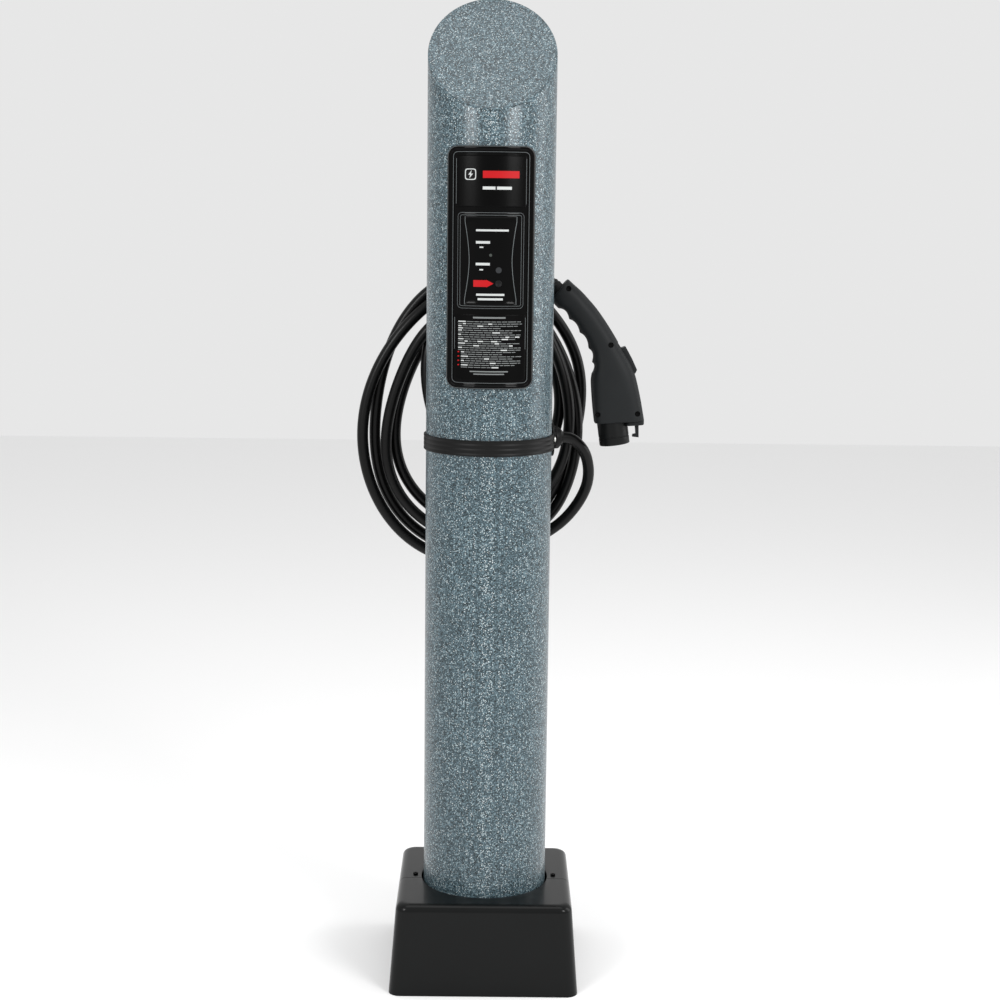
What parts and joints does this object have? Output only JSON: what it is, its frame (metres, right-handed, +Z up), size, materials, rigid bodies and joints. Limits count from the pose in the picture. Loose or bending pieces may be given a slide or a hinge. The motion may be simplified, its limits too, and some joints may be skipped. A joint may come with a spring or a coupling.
{
  "type": "ev charging post",
  "caption": "Round free-standing post with a slanted top, a charger let into its front, a coiled cable on a rear hook and a hand-held plug.",
  "frame": {"origin": "centre of the square anchor plate's underside", "axes": "+Z up along the post, -Y out of the charger face, +X to the right seen from the front"},
  "size_m": [0.424, 0.2845, 1.392],
  "materials": {
    "painted_steel": "hot-dip primer and grey paint",
    "zinc_steel": "zinc plated",
    "spring_steel": "drawn spring wire",
    "speckled_plastic": "moulded blue-grey with fine light and dark stone speckle",
    "cover_plastic": "moulded black, fine grain",
    "black_screw": "black passivated",
    "nylon_black": "moulded black nylon",
    "housing_plastic": "moulded dark grey",
    "board_green": "solder-masked circuit board",
    "device_white": "moulded off-white",
    "sensor_blue": "moulded blue",
    "seal_rubber": "foam rubber",
    "gloss_black": "moulded gloss black",
    "printed_label": "black film with pale and red print bars",
    "lamp_clear": "clear light pipe",
    "lamp_grey": "grey diffusing lens",
    "button_plastic": "moulded dark grey",
    "core_insulation": "coloured core insulation",
    "cable_sheath": "satin black sheath",
    "boot_rubber": "moulded black rubber",
    "junction_grey": "moulded light grey",
    "connector_plastic": "moulded black, fine grain",
    "nozzle_plastic": "moulded black",
    "contact_metal": "turned contact sleeves",
    "lever_plastic": "moulded dark grey",
    "switch_red": "moulded dark red"
  },
  "bodies": {
    "post": {"base_plate": "painted_steel", "inner_post": "painted_steel", "post_gussets": "painted_steel", "sleeve_spacers": "zinc_steel", "post_sleeve": "speckled_plastic", "rear_screws": "zinc_steel", "front_base_cover": "cover_plastic", "rear_base_cover": "cover_plastic", "base_cover_screws": "black_screw", "strap_band": "nylon_black", "gland_flange": "nylon_black", "flange_screws": "zinc_steel", "gland_body": "nylon_black", "gland_locknut": "nylon_black", "gland_nut": "nylon_black", "cable_hook": "nylon_black", "unit_bracket": "zinc_steel", "unit_screws": "zinc_steel", "rear_housing": "housing_plastic", "control_board": "board_green", "contactor": "device_white", "current_sensor": "sensor_blue", "terminal_block": "device_white", "cover_gasket": "seal_rubber", "front_cover": "gloss_black", "cover_screws": "zinc_steel", "name_plate": "printed_label", "display_hood": "gloss_black", "label_plate": "printed_label", "power_lens": "lamp_clear", "status_lens": "lamp_grey", "button_spring": "spring_steel", "unit_glands": "nylon_black", "output_cores": "core_insulation", "supply_lead": "cable_sheath", "junction_box": "junction_grey", "junction_lid": "junction_grey", "junction_screws": "zinc_steel", "cable_lead": "cable_sheath", "cable_coil": "cable_sheath", "cable_tail": "cable_sheath", "grip_boot": "boot_rubber", "connector_front_shell": "connector_plastic", "connector_rear_shell": "connector_plastic", "connector_nozzle": "nozzle_plastic", "contact_insert": "nozzle_plastic", "contact_sleeves": "contact_metal", "latch_pin": "zinc_steel", "latch_spring": "spring_steel", "proximity_switch": "switch_red", "connector_screws": "black_screw"},
    "latch_lever": {"latch_lever": "lever_plastic"},
    "reset_button": {"reset_button": "button_plastic"}
  },
  "joints": [
    {"name": "latch_lever_hinge", "type": "hinge", "parent": "post", "child": "latch_lever", "pos_m": [0.206, 0.062, 0.842], "axis": [0, -1, 0], "range_deg": [0, 5], "stiffness_Nm_per_rad": 1.2, "springref_deg": -2.86, "deforming": ["latch_spring"]},
    {"name": "reset_button_slide", "type": "slide", "parent": "post", "child": "reset_button", "axis": [0, 1, 0], "range_m": [0, 0.0018], "stiffness_N_per_m": 300, "springref_m": -0.001, "deforming": ["button_spring"]}
  ]
}
